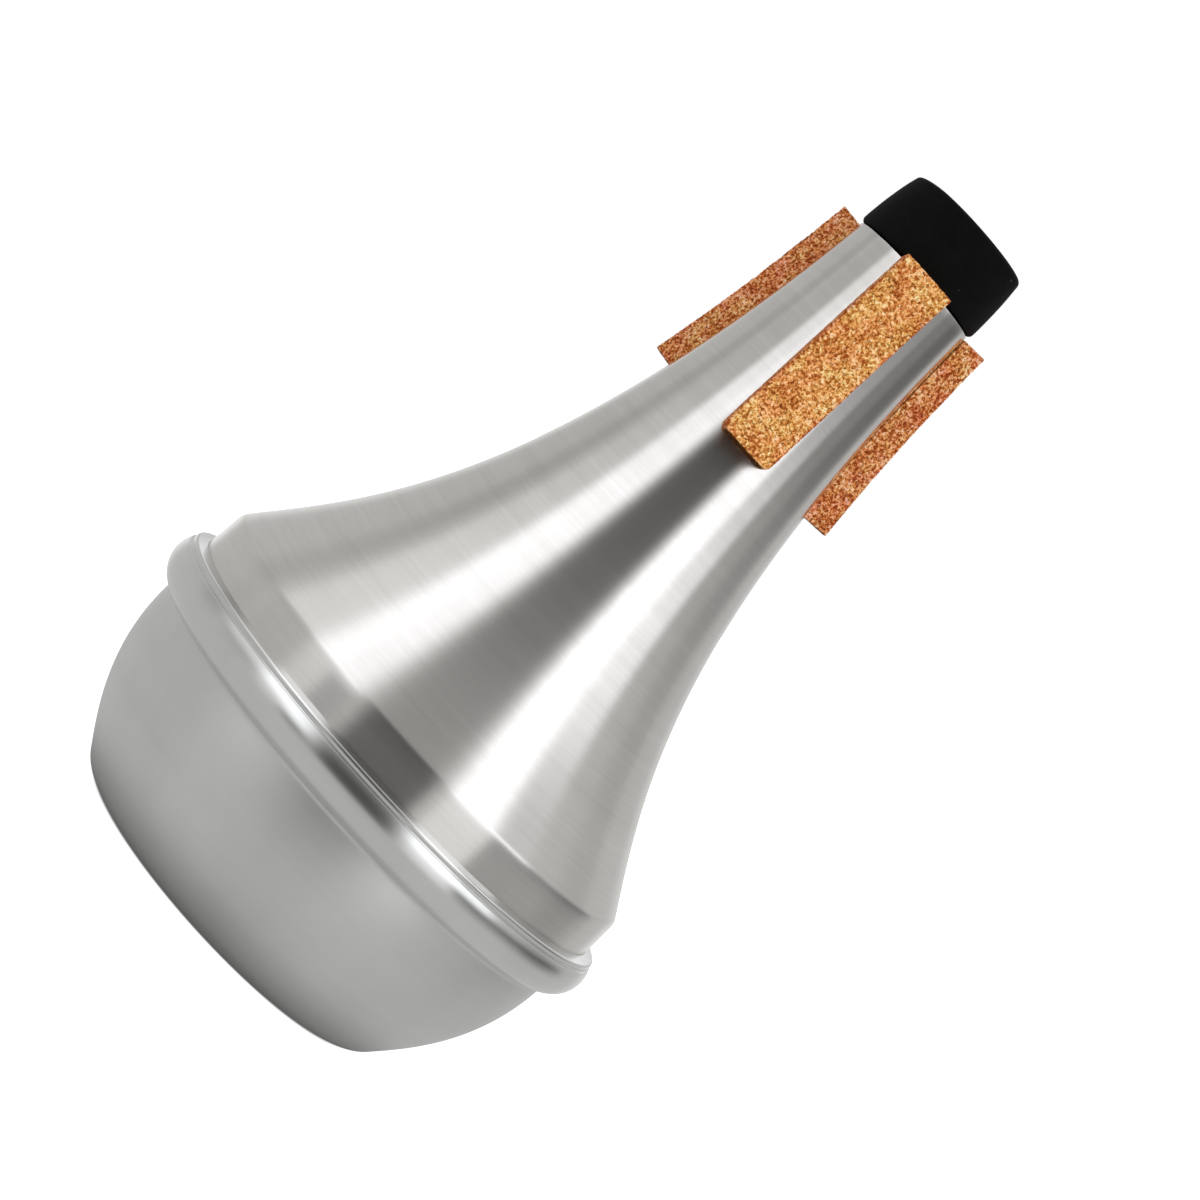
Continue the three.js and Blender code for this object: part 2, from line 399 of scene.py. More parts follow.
NOISE_SPAN = (0.25, 0.75)  # nearly all values of a noise lie between these
PATCH_SPAN = (0.38, 0.62)  # the same for a soft noise, so that its patches are distinct
TWO_NOISES_SPAN = (0.7, 1.3)  # and for the sum of two


def linear(colour: str) -> tuple[float, float, float, float]:
    """Turns an sRGB hex colour to linear values by the sRGB curve.

    Args:
        colour: Hash sign and six digits.

    Returns:
        Red, green and blue, and an alpha of one.
    """
    parts = [int(colour[i:i + 2], 16) / 255 for i in (1, 3, 5)]
    red, green, blue = (
        part / 12.92 if part <= 0.04045 else ((part + 0.055) / 1.055)**2.4 for part in parts)
    return red, green, blue, 1.0


def change(start: float, end: float, first: Any = 0.0, last: Any = 1.0) -> dict[str, Any]:
    """Returns the inputs that turn start to end into first to last in a Map Range node."""
    return {"From Min": start, "From Max": end, "To Min": first, "To Max": last}


def add_node(tree: bpy.types.NodeTree, kind: str,
             inputs: dict[str | int, Any] | None = None, **settings: Any) -> bpy.types.Node:
    """Adds a node with its settings, and links or sets its inputs.

    Args:
        tree: Node tree that it goes into.
        kind: Node type.
        inputs: Value, or socket to link from, for each input by name or number.
        **settings: Properties of the node. The setting stops fills a colour ramp with
            pairs of position and linear colour.

    Returns:
        The node.
    """
    node = tree.nodes.new(kind)
    stops = settings.pop("stops", None)
    for key, value in settings.items():
        setattr(node, key, value)
    if stops:
        elements = node.color_ramp.elements
        while len(elements) < len(stops):
            elements.new(1.0)
        for element, (position, colour) in zip(elements, stops):
            element.position, element.color = position, colour
    for key, value in (inputs or {}).items():
        if isinstance(value, bpy.types.NodeSocket):
            tree.links.new(value, node.inputs[key])
        else:
            node.inputs[key].default_value = value
    return node


def new_material(name: str, colour: str) -> tuple[bpy.types.Material, bpy.types.NodeTree]:
    """Makes a material whose tree is still empty.

    Args:
        name: Name of the material.
        colour: Its colour in a plain viewport.

    Returns:
        The material and its tree.
    """
    material = bpy.data.materials.new(name)
    material.diffuse_color = linear(colour)
    material.use_nodes = True
    material.node_tree.nodes.clear()
    return material, material.node_tree


class Lathe(Enum):
    """How the spinner left the aluminium."""

    BRIGHT = "run_over_with_fine_emery"
    SATIN = "rubbed_with_a_soft_pad"


@dataclass(frozen=True)
class SpunAluminium:
    """Aluminium sheet spun over a former and finished in the lathe.

    The finishing marks run round the axis, so the metal mirrors sharply across them
    and blurs along the profile: lights become long streaks with crisp sides.
    """

    lathe: Lathe
    light_colour: str
    dark_colour: str
    roughness: tuple[float, float]
    anisotropy: float
    cloudiness: float  # share of the clouds in the tint, against the bands
    foot_change: float
    foot_heights: tuple[float, float]
    neck_change: float = 0.0
    neck_heights: tuple[float, float] = (104.0, 116.0)
    # Emery marks are about 0.05 mm wide, which is too fine to show in the render, so they
    # are drawn ten times as wide and end after a short arc.
    mark_width: float = 0.5
    mark_length: float = 12.0
    mark_depth: float = 0.003
    # The spinning roller and the emery stick leave bands a few millimetres wide, and
    # wiping leaves clouds as wide as a thumb. Both are drawn at their real size.
    band_width: float = 3.2
    band_length: float = 80.0
    cloud_width: float = 22.0

    def material(self) -> bpy.types.Material:
        """Builds the metal: tint and roughness by bands round the axis and by clouds.

        Below the foot's heights and above the neck's the roughness changes by the
        given amounts.

        Returns:
            The material, named for its finish.
        """
        name = f"spun_aluminium_{self.lathe.value}"
        material, tree = new_material(name, self.light_colour)
        place = add_node(tree, "ShaderNodeTexCoord").outputs["Object"]
        run = add_node(tree, "ShaderNodeAttribute", attribute_name="run_mm").outputs["Fac"]
        split = add_node(tree, "ShaderNodeSeparateXYZ", {0: place})

        def along(width: float, length: float) -> bpy.types.NodeSocket:
            """Makes a place for marks: it changes fast along the profile, slowly round it.

            Args:
                width: Width of a mark along the profile, in millimetres.
                length: Its length round the axis.

            Returns:
                The place, one unit wide for each mark.
            """
            scaled = [
                add_node(tree, "ShaderNodeMath", {0: value, 1: scale}, operation="MULTIPLY")
                for value, scale in ((split.outputs[0], 1 / (length * MM)),
                                     (split.outputs[1], 1 / (length * MM)), (run, 1 / width))]
            return add_node(tree, "ShaderNodeCombineXYZ", {
                axis: value.outputs[0] for axis, value in enumerate(scaled)}).outputs[0]

        marks = add_node(tree, "ShaderNodeTexNoise", {
            "Vector": along(self.mark_width, self.mark_length), "Scale": 1.0,
            "Detail": 1.0, "Roughness": 0.5})
        bands = add_node(tree, "ShaderNodeTexNoise", {
            "Vector": along(self.band_width, self.band_length), "Scale": 1.0,
            "Detail": 4.0, "Roughness": 0.85})
        clouds = add_node(tree, "ShaderNodeTexNoise", {
            "Vector": place, "Scale": 1 / (self.cloud_width * MM), "Detail": 3.0,
            "Roughness": 0.55})
        uneven = add_node(tree, "ShaderNodeMath", {
            0: bands.outputs["Fac"], 1: clouds.outputs["Fac"]}, operation="ADD")
        roughness = add_node(tree, "ShaderNodeMapRange", {
            "Value": uneven.outputs[0], **change(*TWO_NOISES_SPAN, *self.roughness)}).outputs[0]
        for (start, end), below, above in ((self.foot_heights, self.foot_change, 0.0),
                                           (self.neck_heights, 0.0, self.neck_change)):
            by_height = add_node(tree, "ShaderNodeMapRange", {
                "Value": split.outputs[2], **change(start * MM, end * MM, below, above)})
            roughness = add_node(tree, "ShaderNodeMath", {
                0: roughness, 1: by_height.outputs[0]}, operation="ADD").outputs[0]
        mottled = add_node(tree, "ShaderNodeMix", {
            0: self.cloudiness, 2: bands.outputs["Fac"], 3: clouds.outputs["Fac"]},
            data_type="FLOAT")
        shade = add_node(tree, "ShaderNodeMapRange", {
            "Value": mottled.outputs[0], **change(*NOISE_SPAN)})
        tint = add_node(tree, "ShaderNodeMix", {
            0: shade.outputs[0], 6: linear(self.light_colour),
            7: linear(self.dark_colour)}, data_type="RGBA")
        relief = add_node(tree, "ShaderNodeBump", {
            "Strength": 1.0, "Distance": self.mark_depth * MM,
            "Height": marks.outputs["Fac"]})
        round_the_axis = add_node(tree, "ShaderNodeTangent", direction_type="RADIAL", axis="Z")
        metal = add_node(tree, "ShaderNodeBsdfPrincipled", {
            "Base Color": tint.outputs[2], "Metallic": 1.0,
            "Roughness": roughness, "Anisotropic": self.anisotropy,
            "Anisotropic Rotation": 0.25, "Normal": relief.outputs[0],
            "Tangent": round_the_axis.outputs[0]})
        add_node(tree, "ShaderNodeOutputMaterial", {"Surface": metal.outputs[0]})
        return material


@dataclass(frozen=True)
class GranulatedCork:
    """Cork granules pressed with a binder, sliced into sheet and cut with a knife.

    The eye sees fine crumbs from pale gold to red-brown with dark pits between them, and
    rosy patches, mostly on the sides that the knife cut. The foot's end face is darkened
    with painted shade, so that the metal below it mirrors a dark face.
    """

    pit: str
    dark: str
    middle: str
    light: str
    straw: str
    rose_tint: str
    cut_tint: str
    # multiplied into the foot's end face as painted shade, so that its image in the metal is dark
    foot_shade_tint: str
    # Granules are 0.5 to 1 mm wide, and the knife opens each into crumbs and pits of
    # about half that. The render shows them at their real size.
    crumb: float = 0.46
    granule: float = 0.6
    pit_width: float = 0.34
    patch: float = 3.2
    granule_share: float = 0.16  # share of a granule's own shade, against its crumbs
    paleness: tuple[float, float] = (0.045, 0.205)
    pale_level: float = 0.68
    cut_contrast: float = 0.25
    colour_levels: tuple[float, ...] = (0.49, 0.595, 0.69, 0.79)
    pit_levels: tuple[float, float] = (0.33, 0.42)
    pit_darkness: float = 0.8
    least_rosiness: float = 0.4
    face_rosiness: float = 0.12
    relief: float = 0.06

    def material(self) -> bpy.types.Material:
        """Builds the cork: crumbs tinted by noise and by granule, pits dark and sunken.

        Returns:
            The material.
        """
        material, tree = new_material("granulated_cork", self.middle)
        place = add_node(tree, "ShaderNodeTexCoord").outputs["Object"]
        crumbs = add_node(tree, "ShaderNodeTexNoise", {
            "Vector": place, "Scale": 1 / (self.crumb * MM), "Detail": 2.0,
            "Roughness": 0.55, "Distortion": 0.6})
        cells = add_node(tree, "ShaderNodeTexVoronoi", {
            "Vector": place, "Scale": 1 / (self.granule * MM)}, feature="F1")
        chance = add_node(tree, "ShaderNodeSeparateColor", {0: cells.outputs["Color"]})
        mixed = add_node(tree, "ShaderNodeMix", {
            0: self.granule_share, 2: crumbs.outputs["Fac"], 3: chance.outputs[0]},
            data_type="FLOAT")
        cut = add_node(tree, "ShaderNodeAttribute", attribute_name="cut_side").outputs["Fac"]
        patches = add_node(tree, "ShaderNodeTexNoise", {
            "Vector": place, "Scale": 1 / (self.patch * MM), "Detail": 2.0})
        hues = add_node(tree, "ShaderNodeSeparateColor", {0: patches.outputs["Color"]})
        paleness = add_node(tree, "ShaderNodeMapRange", {
            "Value": patches.outputs["Fac"], **change(0.0, 1.0, *self.paleness)})
        patchy = add_node(tree, "ShaderNodeMath", {
            0: paleness.outputs[0], 1: mixed.outputs[0]}, operation="ADD")
        contrast = add_node(tree, "ShaderNodeMath", {0: cut, 1: self.cut_contrast, 2: 1.0},
                            operation="MULTIPLY_ADD")
        aside = add_node(tree, "ShaderNodeMath", {0: patchy.outputs[0], 1: self.pale_level},
                         operation="SUBTRACT")
        crumb = add_node(tree, "ShaderNodeMath", {
            0: aside.outputs[0], 1: contrast.outputs[0], 2: self.pale_level},
            operation="MULTIPLY_ADD")
        tint = add_node(tree, "ShaderNodeValToRGB", {0: crumb.outputs[0]}, stops=[*zip(
            self.colour_levels, map(linear, (self.dark, self.middle, self.light, self.straw)))])
        rosier = add_node(tree, "ShaderNodeMapRange", {
            "Value": hues.outputs[2], **change(*PATCH_SPAN)})
        blushed = add_node(tree, "ShaderNodeMix", {
            0: rosier.outputs[0], 6: tint.outputs[0], 7: linear(self.rose_tint)},
            data_type="RGBA", blend_type="MULTIPLY")
        holes = add_node(tree, "ShaderNodeTexNoise", {
            "Vector": place, "Scale": 1 / (self.pit_width * MM), "Detail": 1.0,
            "Roughness": 0.5})
        depth = add_node(tree, "ShaderNodeMapRange", {
            "Value": holes.outputs["Fac"], **change(*self.pit_levels, self.pit_darkness, 0.0)})
        pitted = add_node(tree, "ShaderNodeMix", {
            0: depth.outputs[0], 6: blushed.outputs[2], 7: linear(self.pit)}, data_type="RGBA")
        rosiness = add_node(tree, "ShaderNodeMapRange", {
            "Value": hues.outputs[1], **change(*PATCH_SPAN, self.least_rosiness)})
        reach = add_node(tree, "ShaderNodeMapRange", {
            "Value": cut, **change(0.0, 1.0, self.face_rosiness)})
        rosy = add_node(tree, "ShaderNodeMath", {0: rosiness.outputs[0], 1: reach.outputs[0]},
                        operation="MULTIPLY")
        sides = add_node(tree, "ShaderNodeMix", {
            0: rosy.outputs[0], 6: pitted.outputs[2], 7: linear(self.cut_tint)},
            data_type="RGBA", blend_type="MULTIPLY")
        # Painted shade: the foot's end face is darkened by this tint, so that the metal below
        # mirrors it dark.
        foot_in_shade = add_node(tree, "ShaderNodeAttribute", attribute_name="shaded_foot_end").outputs["Fac"]
        colour = add_node(tree, "ShaderNodeMix", {
            0: foot_in_shade, 6: sides.outputs[2], 7: linear(self.foot_shade_tint)}, data_type="RGBA",
            blend_type="MULTIPLY")
        relief = add_node(tree, "ShaderNodeBump", {
            "Strength": 0.9, "Distance": self.relief * MM, "Height": mixed.outputs[0]})
        cork = add_node(tree, "ShaderNodeBsdfPrincipled", {
            "Base Color": colour.outputs[2], "Roughness": 0.88,
            "Specular IOR Level": 0.06, "Normal": relief.outputs[0]})
        add_node(tree, "ShaderNodeOutputMaterial", {"Surface": cork.outputs[0]})
        return material


@dataclass(frozen=True)
class BlackRubber:
    """Moulded black rubber, matte, with a fine mould grain and a few specks of dust."""

    colour: str
    worn_colour: str
    dust: str
    # The mould's grain is about 0.1 mm wide, which is too fine to show in the render, so it
    # is drawn three times as coarse. Scuffs and dust are drawn at their real size.
    grain: float = 0.35
    grain_depth: float = 0.04
    scuff: float = 5.0
    scuff_levels: tuple[float, float] = (0.45, 0.75)
    speck_spacing: float = 2.1
    speckless_share: float = 0.55  # share of the places for a speck that have none
    largest_speck: float = 0.085  # radius, as a share of the spacing
    roughness: tuple[float, float] = (0.62, 0.95)

    def material(self) -> bpy.types.Material:
        """Builds the rubber: near black, broken by grain, faint scuffs and dust.

        Returns:
            The material.
        """
        material, tree = new_material("moulded_black_rubber", self.colour)
        place = add_node(tree, "ShaderNodeTexCoord").outputs["Object"]
        grain = add_node(tree, "ShaderNodeTexNoise", {
            "Vector": place, "Scale": 1 / (self.grain * MM), "Detail": 3.0, "Roughness": 0.6})
        scuffs = add_node(tree, "ShaderNodeTexNoise", {
            "Vector": place, "Scale": 1 / (self.scuff * MM), "Detail": 4.0, "Roughness": 0.6})
        worn = add_node(tree, "ShaderNodeMapRange", {
            "Value": scuffs.outputs["Fac"], **change(*self.scuff_levels)})
        body = add_node(tree, "ShaderNodeMix", {
            0: worn.outputs[0], 6: linear(self.colour), 7: linear(self.worn_colour)},
            data_type="RGBA")
        motes = add_node(tree, "ShaderNodeTexVoronoi", {
            "Vector": place, "Scale": 1 / (self.speck_spacing * MM)}, feature="F1")
        chosen = add_node(tree, "ShaderNodeSeparateColor", {0: motes.outputs["Color"]})
        size = add_node(tree, "ShaderNodeMapRange", {
            "Value": chosen.outputs[0],
            **change(self.speckless_share, 1.0, 0.0, self.largest_speck)})
        hit = add_node(tree, "ShaderNodeMath", {
            0: motes.outputs["Distance"], 1: size.outputs[0]}, operation="LESS_THAN")
        colour = add_node(tree, "ShaderNodeMix", {
            0: hit.outputs[0], 6: body.outputs[2], 7: linear(self.dust)}, data_type="RGBA")
        roughness = add_node(tree, "ShaderNodeMapRange", {
            "Value": grain.outputs["Fac"], **change(0.0, 1.0, *self.roughness)})
        relief = add_node(tree, "ShaderNodeBump", {
            "Strength": 0.6, "Distance": self.grain_depth * MM, "Height": grain.outputs["Fac"]})
        rubber = add_node(tree, "ShaderNodeBsdfPrincipled", {
            "Base Color": colour.outputs[2], "Roughness": roughness.outputs[0],
            "Specular IOR Level": 0.1, "Normal": relief.outputs[0]})
        add_node(tree, "ShaderNodeOutputMaterial", {"Surface": rubber.outputs[0]})
        return material


# The cone: emery leaves it bright, so it shows long crisp streaks, broken by fine rings.
BRIGHT_METAL = SpunAluminium(
    lathe=Lathe.BRIGHT, light_colour="#E3E0DC", dark_colour="#D5D2CD",
    roughness=(0.25, 0.27), anisotropy=0.85, cloudiness=0.15,
    foot_change=-0.05, foot_heights=(43.0, 44.6), neck_change=-0.07)
# The end cap: the bead is burnished, and the padded bowl below it is soft, even and a
# little cloudy.
SATIN_METAL = SpunAluminium(
    lathe=Lathe.SATIN, light_colour="#E0E0DD", dark_colour="#D2D2CF",
    roughness=(0.22, 0.25), anisotropy=0.55, cloudiness=0.75,
    foot_change=0.22, foot_heights=(29.4, 30.8))
# The strips: gold-brown crumbs, the one warm and grainy thing on the mute. Their foot ends are
# darkened with painted shade.
CORK = GranulatedCork(
    pit="#5E2A0F", dark="#9C5322", middle="#D79549", light="#F1BF70", straw="#FFE8AD",
    rose_tint="#FFE9F1", cut_tint="#F5D3EB", foot_shade_tint="#6A5648")
# The sleeve: a deep black that shows almost no light.
RUBBER = BlackRubber(colour="#060606", worn_colour="#0B0B0A", dust="#565450")


def dress(piece: bpy.types.Object, material: bpy.types.Material, node: str) -> None:
    """Gives a piece its material, hangs it on the root body and hides the model's node it stands
    for.

    Args:
        piece: The finished mesh object.
        material: What it is made of.
        node: Name of the model's node.
    """
    piece.data.materials.append(material)
    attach(piece, "root")
    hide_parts(node)


# --- Pieces ---

@dataclass
class RolledSeam:
    """The bead that joins cap and cone, shared by both shells."""

    bowl_radius: float = 44.3
    middle_height: float = 34.4
    round: float = 5.0
    proud: float = 3.7
    root_round: float = 0.9
    wall: float = 1.0
    clearance: float = 0.3
    skirt_step: float = 0.7
    lip_land: float = 1.15
    lip_groove_width: float = 0.7
    lip_groove_depth: float = 0.3
    lip_ridge_width: float = 0.9
    lip_ridge_rise: float = 0.25
    lip_gap: float = 0.03
    lip_edge: float = 0.08
    lip_rise: float = 0.35
    skirt_taper: float = 0.42
    skirt_length: float = 10.0

    @property
    def centre(self) -> Points:
        """Returns the middle of the roll's section."""
        return np.array([self.bowl_radius + self.proud - self.round, self.middle_height])

    @property
    def skirt_foot(self) -> Points:
        """Returns the outer corner where the cone's skirt turns out into its flange."""
        return np.array([self.bowl_radius + self.skirt_step, self.middle_height + self.wall / 2])

    @property
    def skirt_top(self) -> Points:
        """Returns the sharp corner between the cone's skirt and its flare."""
        return self.skirt_foot + np.array([-self.skirt_taper, self.skirt_length])

    @property
    def root_centre(self) -> Points:
        """Places the middle of the small hollow where the bowl turns out into the roll.

        The hollow touches the bowl and the roll, so its middle is its own radius off the
        one and both radii off the middle of the other.

        Returns:
            The middle.
        """
        radius = self.bowl_radius + self.root_round
        drop = math.sqrt((self.round + self.root_round)**2 - (radius - self.centre[0])**2)
        return np.array([radius, self.middle_height - drop])

    def angle_at(self, radius: float, roll: float) -> float:
        """Returns the angle on a roll of that size at which it reaches the radius."""
        return math.acos((radius - self.centre[0]) / roll)

    def root(self, count: int) -> Points:
        """Returns the hollow root as an arc that is touched by the bowl and the roll."""
        meet = self.centre - self.root_centre
        return arc(self.root_centre, self.root_round, np.pi, math.atan2(meet[1], meet[0]), count)

    def roll_to(self, angle: float, count: int) -> Points:
        """Returns the roll from its root round to the angle."""
        start = self.root_centre - self.centre
        return arc(self.centre, self.round, math.atan2(start[1], start[0]), angle, count)

    def moulding(self, start: float, end: float, rise: float, count: int) -> Points:
        """Raises part of the roll by rise * sin(pi * share of the way).

        Args:
            start: First angle on the roll.
            end: Last angle.
            rise: Height in the middle, below zero for a groove.
            count: Number of points.

        Returns:
            The points of the part.
        """
        share = np.linspace(0.0, 1.0, count)[:, None]
        angle = start + (end - start) * share[:, 0]
        heading = np.stack([np.cos(angle), np.sin(angle)], axis=1)
        return self.centre + (self.round + rise * np.sin(np.pi * share)) * heading


@dataclass
class EndCap:
    """The spun end cap: flat base, bowl and rolled bead with its crimped lip."""

    seam: RolledSeam
    base_radius: float = 32.0
    base_corner_round: float = 6.0
    foot_handle_shares: tuple[float, float] = (0.39, 0.22)
    top_handle_shares: tuple[float, float] = (1.0, 0.53)
    edge: float = 0.16
    floor_points: int = 16
    corner_points: int = 14
    bowl_points: int = 60
    root_points: int = 10
    roll_points: int = 40
    inner_roll_points: int = 30
    groove_points: int = 9
    ridge_points: int = 11
    facets: int = 360

    def bowl(self) -> Points:
        """Draws the outer skin: a straight floor, a round corner and a cubic flank.

        Returns:
            The skin from the middle of the base up to the roll.
        """
        base = np.array([self.base_radius, 0.0])
        top = np.array([self.seam.bowl_radius, self.seam.root_centre[1]])
        foot_handle = share_of(base, top, self.foot_handle_shares)
        top_handle = share_of(base, top, self.top_handle_shares)
        corner = rounded_corner(base, OUTWARD, unit(foot_handle - base),
                                self.base_corner_round, self.corner_points)
        flank = cubic([corner[-1], foot_handle, top_handle, top], self.bowl_points)
        floor = np.linspace(0.0, corner[0, 0], self.floor_points)[:, None] * OUTWARD
        return chain(floor, corner, flank, self.seam.root(self.root_points))

    def profile(self) -> Points:
        """Draws the whole section: outer skin, lip with groove, ridge and land, inner skin.

        Returns:
            The closed section from the middle of the base and back to it.
        """
        seam = self.seam
        lip_radius = seam.skirt_foot[0] + seam.clearance
        lip = seam.angle_at(lip_radius + seam.lip_land, seam.round)
        ridge = lip - seam.lip_ridge_width / seam.round
        groove = ridge - seam.lip_groove_width / seam.round
        inner_lip = seam.angle_at(lip_radius, seam.round - seam.wall)
        height = seam.centre[1] + seam.round * math.sin(lip) + seam.lip_rise
        skirt = np.interp(height, *np.stack([seam.skirt_foot, seam.skirt_top])[:, ::-1].T)
        edge = np.array([skirt + seam.lip_gap, height])
        land = np.array([edge + seam.lip_edge * OUTWARD, edge, edge + seam.lip_edge * DOWNWARD])
        outer = chain(self.bowl(), seam.roll_to(groove, self.roll_points),
                      seam.moulding(groove, ridge, -seam.lip_groove_depth, self.groove_points),
                      seam.moulding(ridge, lip, seam.lip_ridge_rise, self.ridge_points), land)
        inner = thinned(inner_skin(
            chain(self.bowl(), seam.roll_to(inner_lip, self.inner_roll_points)), seam.wall))
        inner[0] = (0.0, seam.wall)
        return softened(chain(outer, inner[::-1]), self.edge)

    def build(self) -> bpy.types.Object:
        """Builds and dresses the end cap.

        Returns:
            The dressed end cap.
        """
        piece = revolved(self.profile(), self.facets).made("end_cap_spun")
        dress(piece, SATIN_METAL.material(), "end_cap")
        return piece


@dataclass
class ConeShell:
    """The spun cone: flange in the bead, short skirt, rounded corner and long flare."""

    seam: RolledSeam
    flange_root_round: float = 0.5
    corner_run_in: tuple[float, float] = (3.0, 0.6)
    corner_run_out: tuple[float, float] = (0.1, 0.7)
    throat_radius: float = 12.4
    throat_height: float = 149.8
    foot_handle_shares: tuple[float, float] = (0.368, 0.156)
    throat_handle_shares: tuple[float, float] = (0.898, 0.366)
    edge: float = 0.16
    root_points: int = 8
    corner_points: int = 18
    flare_points: int = 140
    longest_step: float = 0.8
    facets: int = 320

    def corner_and_flare(self) -> tuple[Points, Points]:
        """Draws the skirt's soft corner and the flare as two cubic curves.

        Returns:
            The corner, and the flare from it up to the throat's rim.
        """
        foot, top = self.seam.skirt_foot, self.seam.skirt_top
        rim = np.array([self.throat_radius, self.throat_height])
        handle = share_of(top, rim, self.foot_handle_shares)
        up, onward = unit(top - foot), unit(handle - top)
        corner = cubic([*(top - run * up for run in self.corner_run_in),
                        *(top + run * onward for run in self.corner_run_out)],
                       self.corner_points)
        flare = cubic([corner[-1], handle, share_of(top, rim, self.throat_handle_shares), rim],
                      self.flare_points)
        return corner, flare

    def outer_skin(self) -> Points:
        """Draws the outside: flange, its rounded root, straight skirt, corner and flare.

        Returns:
            The skin from the flange's tip up to the throat's rim.
        """
        seam, foot = self.seam, self.seam.skirt_foot
        corner, flare = self.corner_and_flare()
        reach = math.sqrt((seam.round - seam.wall - seam.clearance)**2 - (seam.wall / 2)**2)
        tip = np.array([seam.centre[0] + reach, foot[1]])
        root = rounded_corner(foot, INWARD, unit(corner[0] - foot),
                              self.flange_root_round, self.root_points)
        skirt = refined(np.stack([root[-1], corner[0]]), self.longest_step)
        return chain(tip, root, skirt, corner, flare)

    def build(self) -> bpy.types.Object:
        """Builds and dresses the cone.

        Returns:
            The dressed cone.
        """
        outer = self.outer_skin()
        inner = thinned(inner_skin(outer, self.seam.wall))
        profile = softened(chain(outer, inner[::-1], outer[:1]), self.edge)
        piece = revolved(profile, self.facets).made("cone_shell_spun")
        dress(piece, BRIGHT_METAL.material(), "cone_shell")
        return piece


@dataclass
class ThroatSleeve:
    """The black rubber sleeve: spigot in the throat, shoulder on the rim, tapered barrel."""

    cone: ConeShell
    clearance: float = 0.3
    spigot_wall: float = 2.6
    spigot_length: float = 12.0
    spigot_lead_in: float = 0.8
    proud: float = 12.2
    shoulder_step: float = 0.45
    taper: float = 1.0
    shoulder_round: float = 0.8
    top_round: float = 0.9
    bore_edge_round: float = 0.6
    barrel_shares: tuple[float, float] = (0.05, 0.48)
    edge: float = 0.12
    out_of_round: float = 0.07
    lump: float = 7.0
    seed: int = 5
    pinch: float = 0.28
    pinch_bearing: float = 196.0
    pinch_spread: float = 0.5
    pinch_sink: float = 0.8
    shoulder_points: int = 10
    barrel_points: int = 30
    top_points: int = 14
    bore_edge_points: int = 8
    longest_step: float = 0.8
    facets: int = 256

    def profile(self) -> Points:
        """Draws the section: spigot along the throat's inside, shoulder, barrel and bore.

        Returns:
            The closed section.
        """
        _, flare = self.cone.corner_and_flare()
        held = int(np.sum(run_along(flare[::-1]) < self.spigot_length))
        spigot = inner_skin(flare, self.cone.seam.wall + self.clearance)[-held:]
        bore = spigot[-1, 0] - self.spigot_wall
        shoulder = np.array([self.cone.throat_radius + self.shoulder_step,
                             self.cone.throat_height + self.clearance])
        top = np.array([shoulder[0] - self.taper, self.cone.throat_height + self.proud])
        handle = share_of(shoulder, top, self.barrel_shares)
        foot_corner = rounded_corner(shoulder, OUTWARD, unit(handle - shoulder),
                                     self.shoulder_round, self.shoulder_points)
        top_corner = rounded_corner(top, unit(top - handle), INWARD, self.top_round,
                                    self.top_points)
        bore_corner = rounded_corner(np.array([bore, top[1]]), INWARD, DOWNWARD,
                                     self.bore_edge_round, self.bore_edge_points)
        barrel = quadratic(foot_corner[-1], handle, top_corner[0], self.barrel_points)
        foot = spigot[0]
        loop = chain([bore, foot[1]], [foot[0] - self.spigot_lead_in, foot[1]],
                     [foot[0], foot[1] + self.spigot_lead_in], spigot[1:],
                     [spigot[-1, 0], shoulder[1]], foot_corner, barrel, top_corner,
                     bore_corner, [bore, foot[1]])
        return softened(refined(loop, self.longest_step), self.edge)

    def build(self) -> bpy.types.Object:
        """Builds the sleeve, a little out of round and pinched at one corner of its top.

        Each corner moves inwards by soft lumps, and near one bearing the barrel moves in
        by pinch * exp(-(angle / spread)^2) * height share^4 and sinks a little.

        Returns:
            The dressed sleeve.
        """
        surface = revolved(self.profile(), self.facets)
        corners = surface.corners
        radius = np.linalg.norm(corners[:, :2], axis=1, keepdims=True)
        barrel = np.clip((corners[:, 2:] - self.cone.throat_height) / self.proud, 0.0, 1.0)
        bearing = np.arctan2(corners[:, 1], corners[:, 0])[:, None]
        angle = np.angle(np.exp(1j * (bearing - math.radians(self.pinch_bearing))))
        near = np.exp(-(angle / self.pinch_spread)**2)
        lumps = lumps_at(corners, self.lump, self.seed)[:, None] - 1.0
        corners[:, :2] *= 1.0 + (self.out_of_round * lumps * barrel
                                 - self.pinch * near * barrel**4) / radius
        corners[:, 2:] -= self.pinch * self.pinch_sink * near * barrel**6
        piece = surface.made("throat_sleeve_moulded")
        dress(piece, RUBBER.material(), "throat_sleeve")
        return piece


class Side(Enum):
    """Which cork strip it is, as seen from the front."""

    FRONT = "front"
    RIGHT = "right"
    LEFT = "left"


